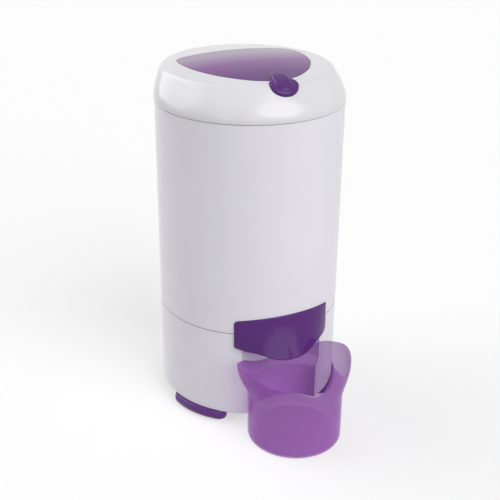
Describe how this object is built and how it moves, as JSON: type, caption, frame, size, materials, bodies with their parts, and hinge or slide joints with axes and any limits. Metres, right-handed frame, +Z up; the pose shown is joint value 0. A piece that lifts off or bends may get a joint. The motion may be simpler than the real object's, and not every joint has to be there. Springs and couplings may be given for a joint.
{
  "type": "spin dryer",
  "caption": "Upright round spin dryer with a hinged lid and latch, a perforated spinning drum, a spout under a shield-shaped hood and a separate water cup.",
  "frame": {"origin": "middle of the footprint of the dryer with its cup in place, on the floor", "axes": "+Z up, front with the cup towards -Y, the observer's right as seen from the front is +X"},
  "size_m": [0.347, 0.4874, 0.6611],
  "materials": {
    "white_plastic": "gloss",
    "violet_gloss": "gloss",
    "purple_gloss": "gloss",
    "lilac_clear": "translucent",
    "tub_plastic": "satin",
    "grey_plastic": "satin",
    "black_plastic": "satin",
    "black_rubber": "matte",
    "steel": "zinc plated",
    "stainless": "satin",
    "lamination": "matte",
    "iron": "turned",
    "copper": "varnished",
    "cast_alloy": "cast"
  },
  "bodies": {
    "housing": {"lower_housing": "white_plastic", "niche_liner": "white_plastic", "upper_housing": "white_plastic", "housing_screws": "steel", "top_collar": "white_plastic", "latch_catch": "steel", "catch_tub": "tub_plastic", "tub_floor": "tub_plastic", "tub_gasket": "black_rubber", "drain_spout": "grey_plastic", "spout_hood": "purple_gloss", "base_pan": "grey_plastic", "foot_front_left": "purple_gloss", "foot_front_right": "purple_gloss", "foot_rear": "purple_gloss", "foot_screws": "steel", "motor_buffers": "black_rubber", "shaft_bellows": "black_rubber", "rod_clips": "grey_plastic", "brake_bracket": "steel", "brake_pin": "steel", "safety_switch": "black_plastic", "switch_screws": "steel", "capacitor": "cast_alloy", "capacitor_strap": "steel", "terminal_block": "grey_plastic", "cord_gland": "black_plastic", "gland_nut": "black_plastic", "hinge_bracket": "white_plastic", "hinge_pin": "steel"},
    "motor_unit": {"buffer_bolts": "steel", "motor_carrier": "steel", "motor_casing": "cast_alloy", "motor_bell": "cast_alloy", "bearing_lower": "steel", "bearing_upper": "steel", "stator_core": "lamination", "stator_windings": "copper"},
    "spinner": {"rotor_core": "lamination", "cooling_fan": "black_plastic", "brake_drum": "iron", "drum_shaft": "steel", "drum_shell": "stainless", "drum_hub": "cast_alloy", "hub_nut": "steel", "hub_cap": "grey_plastic", "balance_ring": "grey_plastic"},
    "lid": {"lid_shell": "white_plastic", "lid_inlay": "violet_gloss", "lid_liner": "white_plastic", "lid_gasket": "black_rubber", "lid_screws": "steel", "lid_hinge": "white_plastic", "latch_pin": "steel"},
    "latch": {"latch_lever": "purple_gloss"},
    "push_rod": {"brake_rod": "steel"},
    "brake": {"brake_lever": "steel", "brake_pad": "black_rubber"},
    "button": {"switch_button": "grey_plastic"},
    "cup": {"water_cup": "lilac_clear"}
  },
  "joints": [
    {"name": "motor_float", "type": "slide", "parent": "housing", "child": "motor_unit", "axis": [0, 0, 1], "range_m": [-0.003, 0.003], "stiffness_N_per_m": 20000, "springref_m": 0.0052, "deforming": ["motor_buffers", "shaft_bellows"]},
    {"name": "drum_spin", "type": "hinge", "parent": "motor_unit", "child": "spinner", "pos_m": [0, 0.05862, 0.15], "axis": [0, 0, 1], "continuous": true},
    {"name": "lid_turn", "type": "hinge", "parent": "housing", "child": "lid", "pos_m": [0, 0.23882, 0.591], "axis": [-1, 0, 0], "range_deg": [0, 95]},
    {"name": "latch_turn", "type": "hinge", "parent": "lid", "child": "latch", "pos_m": [0, -0.07638, 0.631], "axis": [-1, 0, 0], "range_deg": [0, 6], "stiffness_Nm_per_rad": 2, "springref_deg": -2.86},
    {"name": "rod_slide", "type": "slide", "parent": "housing", "child": "push_rod", "axis": [0, 0, 1], "range_m": [0, 0.005]},
    {"name": "brake_swing", "type": "hinge", "parent": "housing", "child": "brake", "pos_m": [0.04114, 0.00959, 0.044], "axis": [-0.766, -0.6428, 0], "range_deg": [0, 2.98]},
    {"name": "button_slide", "type": "slide", "parent": "housing", "child": "button", "axis": [0, 0, 1], "range_m": [0, 0.003]},
    {"name": "cup_pull", "type": "slide", "parent": "housing", "child": "cup", "axis": [0, -1, 0], "range_m": [0, 0.16]}
  ],
  "couplings": [
    {"joint": "rod_slide", "follows": "latch_turn", "m_per_rad": 0.0477},
    {"joint": "brake_swing", "follows": "latch_turn", "ratio": 0.4973},
    {"joint": "button_slide", "follows": "latch_turn", "m_per_rad": 0.0286}
  ]
}
